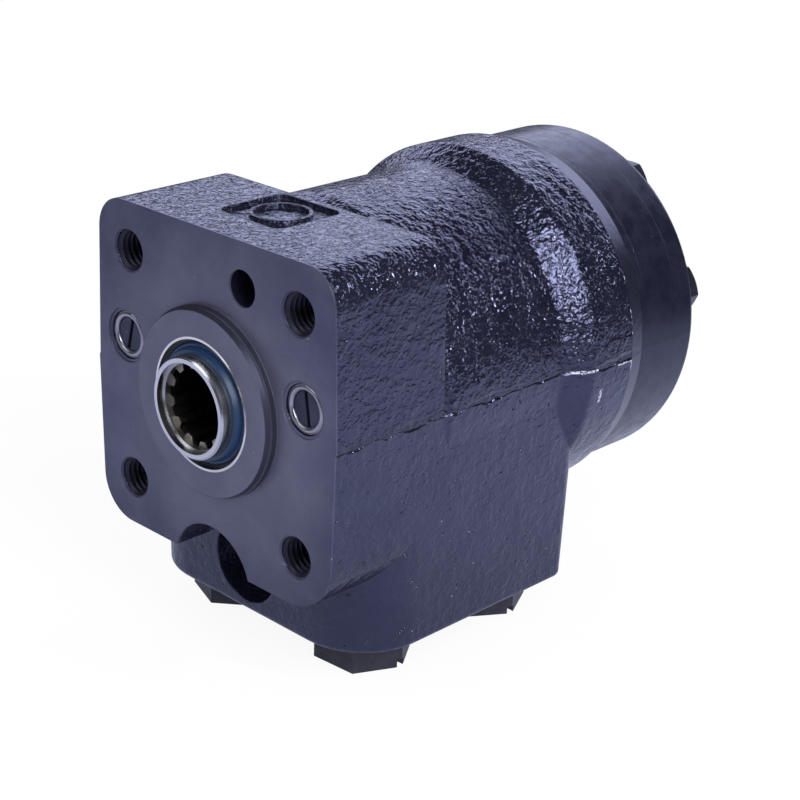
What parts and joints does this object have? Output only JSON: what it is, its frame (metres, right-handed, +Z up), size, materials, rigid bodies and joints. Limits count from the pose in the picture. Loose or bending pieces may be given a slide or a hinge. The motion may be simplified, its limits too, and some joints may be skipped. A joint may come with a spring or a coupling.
{
  "type": "orbital steering unit",
  "caption": "Hydrostatic steering unit: square column flange with pilot ring and splined spool, round neck, gerotor set with bolted end cover, and plugged ports underneath.",
  "frame": {"origin": "on the spool axis in the column face, at the centre of the four column bolts", "axes": "+Y runs back along the spool axis to the end cover, +X is right seen from the steering column, +Z is up and the ports look down"},
  "size_m": [0.093, 0.1386, 0.1135],
  "materials": {
    "black_paint": "glossy black enamel over rough cast iron",
    "painted_bolts": "black enamel",
    "ground_steel": "ground and hardened",
    "bright_steel": "bright pressed steel",
    "cap_steel": "zinc plated",
    "bare_steel": "machined",
    "spring_steel": "oil tempered",
    "bearing_steel": "polished",
    "blue_rubber": "satin blue rubber",
    "black_rubber": "matt",
    "black_plastic": "moulded, matt"
  },
  "bodies": {
    "housing": {"housing": "black_paint", "dust_seal": "blue_rubber", "seal_retaining_ring": "bright_steel", "shaft_seal": "black_rubber", "thrust_bearing_outer_race": "bearing_steel", "distribution_plate": "black_paint", "gear_stator": "black_paint", "end_cover": "black_paint", "housing_o_ring": "black_rubber", "stator_o_ring": "black_rubber", "cover_o_ring": "black_rubber", "cover_bolts": "painted_bolts", "cover_bolt_washers": "painted_bolts", "check_ball_bushing": "bare_steel", "suction_pins": "bare_steel", "relief_valve_seat": "bare_steel", "relief_valve_spring": "spring_steel", "relief_valve_plug": "bare_steel", "shock_valve_cap_left": "cap_steel", "shock_valve_cap_right": "cap_steel", "shock_valve_spring_left": "spring_steel", "shock_valve_spring_right": "spring_steel", "port_plug_front_left": "black_plastic", "port_plug_front_right": "black_plastic", "port_plug_back_right": "black_plastic", "port_plug_back_left": "black_plastic", "port_plug_seals": "black_rubber"},
    "sleeve": {"control_sleeve": "ground_steel", "cross_pin": "bare_steel", "spring_ring": "spring_steel", "centring_springs": "spring_steel", "thrust_bearing_inner_race": "bearing_steel"},
    "bearing_cage": {"thrust_bearing_cage": "bare_steel", "thrust_bearing_needles": "bearing_steel"},
    "spool": {"control_spool": "ground_steel"},
    "orbit": {"rotor_spacer": "bare_steel"},
    "rotor": {"gear_rotor": "bare_steel"},
    "cardan": {"cardan_shaft": "bare_steel"},
    "relief_poppet": {"relief_valve_poppet": "bare_steel"},
    "shock_ball_left": {"shock_valve_ball_left": "bearing_steel"},
    "shock_ball_right": {"shock_valve_ball_right": "bearing_steel"},
    "check_ball": {"check_ball": "bearing_steel"},
    "suction_ball_left": {"suction_ball_left": "bearing_steel"},
    "suction_ball_right": {"suction_ball_right": "bearing_steel"}
  },
  "joints": [
    {"name": "sleeve_turn", "type": "hinge", "parent": "housing", "child": "sleeve", "pos_m": [0, 0, 0], "axis": [0, 1, 0], "continuous": true},
    {"name": "spool_lag", "type": "hinge", "parent": "sleeve", "child": "spool", "pos_m": [0, 0, 0], "axis": [0, 1, 0], "range_deg": [-8, 8], "stiffness_Nm_per_rad": 12},
    {"name": "bearing_cage_turn", "type": "hinge", "parent": "housing", "child": "bearing_cage", "pos_m": [0, 0, 0], "axis": [0, 1, 0], "continuous": true},
    {"name": "rotor_orbit", "type": "hinge", "parent": "housing", "child": "orbit", "pos_m": [0, 0, 0], "axis": [0, 1, 0], "continuous": true},
    {"name": "rotor_spin", "type": "hinge", "parent": "orbit", "child": "rotor", "pos_m": [0, 0.1056, 0.003], "axis": [0, 1, 0], "continuous": true},
    {"name": "cardan_spin", "type": "hinge", "parent": "orbit", "child": "cardan", "pos_m": [0, 0.038, 0], "axis": [0, 0.9991, 0.0414], "continuous": true},
    {"name": "relief_poppet_lift", "type": "slide", "parent": "housing", "child": "relief_poppet", "axis": [0, -1, 0], "range_m": [0, 0.0015], "stiffness_N_per_m": 3000, "springref_m": -0.002, "deforming": ["relief_valve_spring"]},
    {"name": "shock_ball_lift_left", "type": "slide", "parent": "housing", "child": "shock_ball_left", "axis": [0, -1, 0], "range_m": [0, 0.001], "stiffness_N_per_m": 1000, "springref_m": -0.002, "deforming": ["shock_valve_spring_left"]},
    {"name": "shock_ball_lift_right", "type": "slide", "parent": "housing", "child": "shock_ball_right", "axis": [0, -1, 0], "range_m": [0, 0.001], "stiffness_N_per_m": 1000, "springref_m": -0.002, "deforming": ["shock_valve_spring_right"]},
    {"name": "check_ball_lift", "type": "slide", "parent": "housing", "child": "check_ball", "axis": [0, 1, 0], "range_m": [0, 0.0008]},
    {"name": "suction_ball_lift_left", "type": "slide", "parent": "housing", "child": "suction_ball_left", "axis": [0, 1, 0], "range_m": [0, 0.0008]},
    {"name": "suction_ball_lift_right", "type": "slide", "parent": "housing", "child": "suction_ball_right", "axis": [0, 1, 0], "range_m": [0, 0.0008]}
  ],
  "couplings": [
    {"joint": "sleeve_turn", "follows": "rotor_orbit", "ratio": -0.16667},
    {"joint": "bearing_cage_turn", "follows": "rotor_orbit", "ratio": -0.083333},
    {"joint": "rotor_spin", "follows": "rotor_orbit", "ratio": -1.1667},
    {"joint": "cardan_spin", "follows": "rotor_orbit", "ratio": -1.1667}
  ]
}
